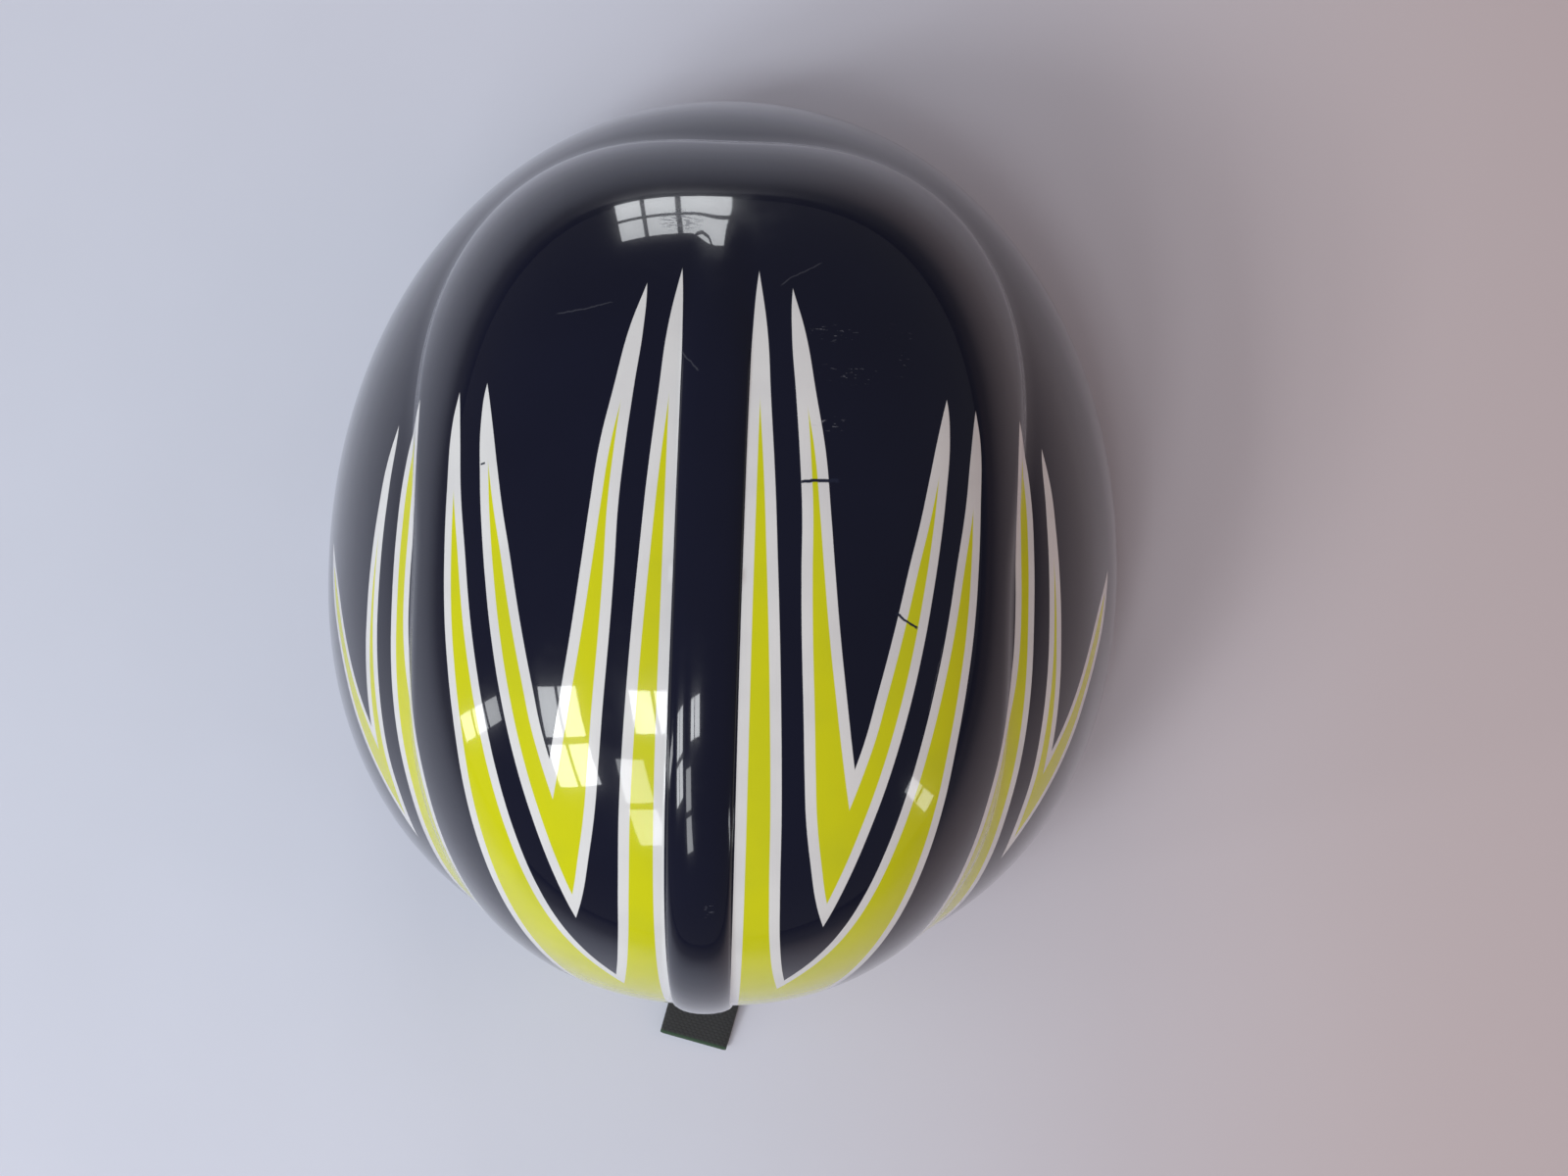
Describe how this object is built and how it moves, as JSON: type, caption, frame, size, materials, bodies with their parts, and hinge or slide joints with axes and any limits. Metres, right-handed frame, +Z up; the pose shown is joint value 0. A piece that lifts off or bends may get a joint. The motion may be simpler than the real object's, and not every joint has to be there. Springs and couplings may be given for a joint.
{
  "type": "hard-shell helmet",
  "caption": "Glossy unvented hard-shell sports helmet with a ridged crown, racing stripes, foam liner, pads, buckled chin strap and a rear webbing tab.",
  "frame": {"origin": "middle of the whole box in X and Y, on the plane that the rim rests on", "axes": "+Z up, the brow faces -Y, the wearer's left is +X"},
  "size_m": [0.2213, 0.2727, 0.1526],
  "materials": {
    "shell_gloss": "high gloss dark navy over black, clear coated, with stripes",
    "trim_black": "satin black edge trim",
    "foam_black": "moulded bead foam, dark",
    "pad_fabric": "brushed jersey over foam",
    "hook_black": "hook-and-loop dots",
    "rivet_steel": "nickel plated rivet",
    "eyelet_brass": "pressed eyelet",
    "webbing_black": "flat woven webbing",
    "buckle_plastic": "moulded acetal, satin",
    "keeper_rubber": "moulded rubber ring"
  },
  "bodies": {
    "helmet": {"outer_shell": "shell_gloss", "rim_trim": "trim_black", "eps_liner": "foam_black", "crown_pad": "pad_fabric", "brow_pad": "pad_fabric", "rear_pad": "pad_fabric", "side_pad_left": "pad_fabric", "side_pad_right": "pad_fabric", "hook_dots": "hook_black", "strap_rivets": "rivet_steel", "rivet_spacers": "buckle_plastic", "rear_tab_root": "webbing_black", "tab_plate": "buckle_plastic", "tab_pin": "buckle_plastic"},
    "chin_strap": {"strap_eyelets": "eyelet_brass", "chin_strap_left": "webbing_black", "chin_strap_right": "webbing_black", "buckle_socket": "buckle_plastic"},
    "plug": {"buckle_plug": "buckle_plastic"},
    "prong_upper": {"release_prong_upper": "buckle_plastic"},
    "prong_lower": {"release_prong_lower": "buckle_plastic"},
    "keeper": {"tail_keeper": "keeper_rubber"},
    "pad_sleeve": {"chin_pad": "pad_fabric"},
    "tab": {"rear_tab": "webbing_black"}
  },
  "joints": [
    {"name": "strap_swing", "type": "hinge", "parent": "helmet", "child": "chin_strap", "pos_m": [0, -0.00325, 0.015], "axis": [1, 0, 0], "range_deg": [0, 95]},
    {"name": "buckle_slide", "type": "slide", "parent": "chin_strap", "child": "plug", "axis": [-0.6917, -0.7222, 0], "range_m": [0, 0.018], "deforming": ["chin_strap_right", "release_prong_upper", "release_prong_lower"]},
    {"name": "prong_upper_squeeze", "type": "hinge", "parent": "plug", "child": "prong_upper", "pos_m": [0.07257, -0.04386, 0.0226], "axis": [-0.7222, 0.6917, 0], "range_deg": [0, 7], "stiffness_Nm_per_rad": 0.02},
    {"name": "prong_lower_squeeze", "type": "hinge", "parent": "plug", "child": "prong_lower", "pos_m": [0.07257, -0.04386, 0.0074], "axis": [-0.7222, 0.6917, 0], "range_deg": [-7, 0], "stiffness_Nm_per_rad": 0.02},
    {"name": "keeper_slide", "type": "slide", "parent": "chin_strap", "child": "keeper", "axis": [-0.6917, -0.7222, 0], "range_m": [-0.0015, 0.0015]},
    {"name": "chin_pad_slide", "type": "slide", "parent": "chin_strap", "child": "pad_sleeve", "axis": [1, 0, 0], "range_m": [-0.003, 0.003]},
    {"name": "tab_flip", "type": "hinge", "parent": "helmet", "child": "tab", "pos_m": [0, 0.11255, 0.006], "axis": [1, 0, 0], "range_deg": [0, 98]}
  ]
}
